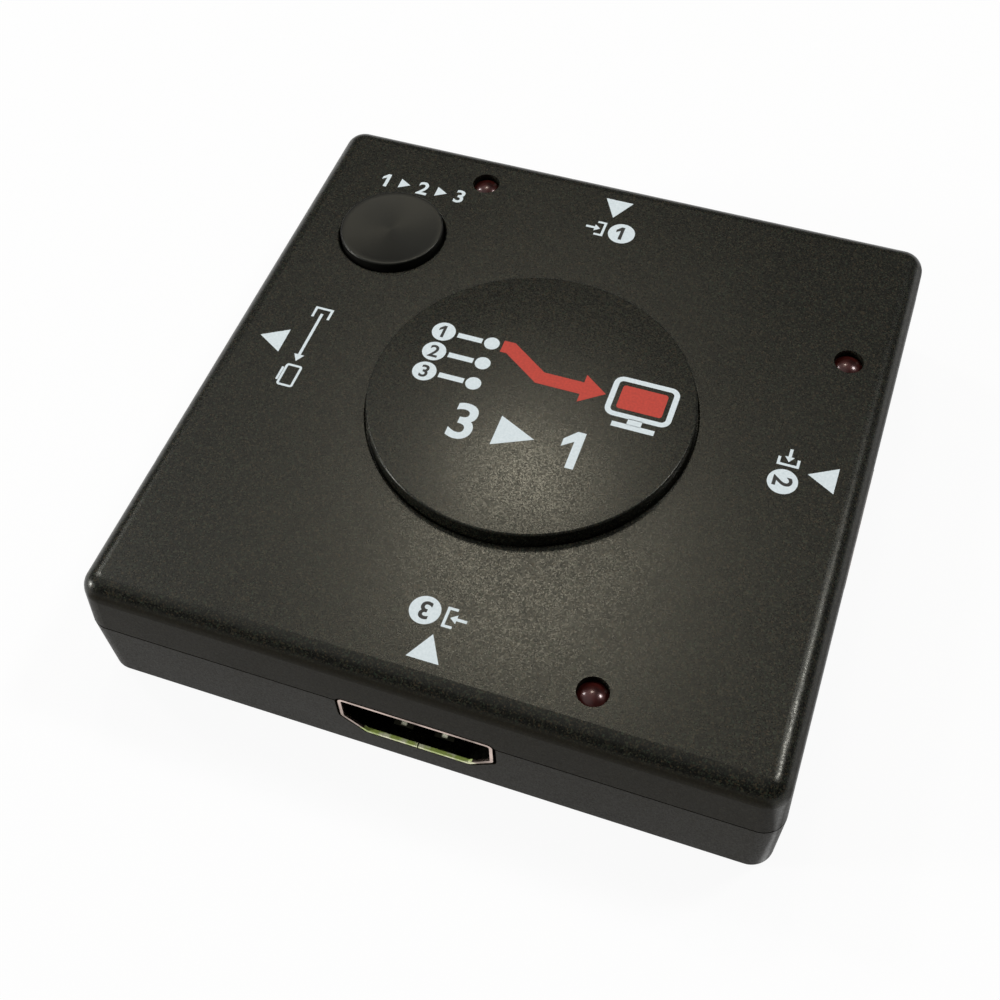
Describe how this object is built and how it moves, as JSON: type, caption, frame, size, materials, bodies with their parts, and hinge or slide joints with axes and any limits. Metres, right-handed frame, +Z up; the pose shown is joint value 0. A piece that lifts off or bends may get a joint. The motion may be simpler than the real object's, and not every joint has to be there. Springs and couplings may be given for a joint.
{
  "type": "hdmi switch box",
  "caption": "Small square black video switch box with a receptacle in each side, a raised centre disc, a round select button and three sunken red lamps.",
  "frame": {"origin": "centre of the underside, on the table", "axes": "+Z up through the lid, -Y out of the front receptacle, +X to the right"},
  "size_m": [0.066, 0.066, 0.016],
  "materials": {
    "case_plastic": "matte",
    "disc_plastic": "matte",
    "button_plastic": "satin",
    "port_metal": "satin",
    "insulator": "matte",
    "contact_metal": "polished",
    "lamp_plastic": "gloss",
    "tinned_metal": "satin",
    "board_laminate": "satin",
    "chip_plastic": "matte",
    "chip_ceramic": "matte",
    "screw_steel": "satin",
    "switch_plastic": "matte"
  },
  "bodies": {
    "root": {"top_shell": "case_plastic", "bottom_shell": "case_plastic", "centre_disc": "disc_plastic", "circuit_board": "board_laminate", "case_screws": "screw_steel", "push_switch_body": "switch_plastic", "push_switch_cover": "tinned_metal", "push_switch_dome": "tinned_metal", "push_switch_leads": "tinned_metal", "switch_chip": "chip_plastic", "switch_chip_leads": "tinned_metal", "selector_chip": "chip_plastic", "selector_chip_leads": "tinned_metal", "regulator": "chip_plastic", "regulator_leads": "tinned_metal", "capacitors": "chip_ceramic", "resistors": "chip_ceramic", "input_3_shell": "port_metal", "input_3_tongue": "insulator", "input_3_contacts": "contact_metal", "input_2_shell": "port_metal", "input_2_tongue": "insulator", "input_2_contacts": "contact_metal", "input_1_shell": "port_metal", "input_1_tongue": "insulator", "input_1_contacts": "contact_metal", "output_shell": "port_metal", "output_tongue": "insulator", "output_contacts": "contact_metal", "indicator_1_led": "lamp_plastic", "indicator_1_leads": "tinned_metal", "indicator_2_led": "lamp_plastic", "indicator_2_leads": "tinned_metal", "indicator_3_led": "lamp_plastic", "indicator_3_leads": "tinned_metal"},
    "button": {"select_button": "button_plastic"},
    "plunger": {"push_switch_plunger": "switch_plastic"}
  },
  "joints": [
    {"name": "button_press", "type": "slide", "parent": "root", "child": "button", "axis": [0, 0, -1], "range_m": [0, 0.00025], "stiffness_N_per_m": 150},
    {"name": "plunger_press", "type": "slide", "parent": "root", "child": "plunger", "axis": [0, 0, -1], "range_m": [0, 0.00025]}
  ],
  "couplings": [
    {"joint": "plunger_press", "follows": "button_press", "ratio": 1}
  ]
}
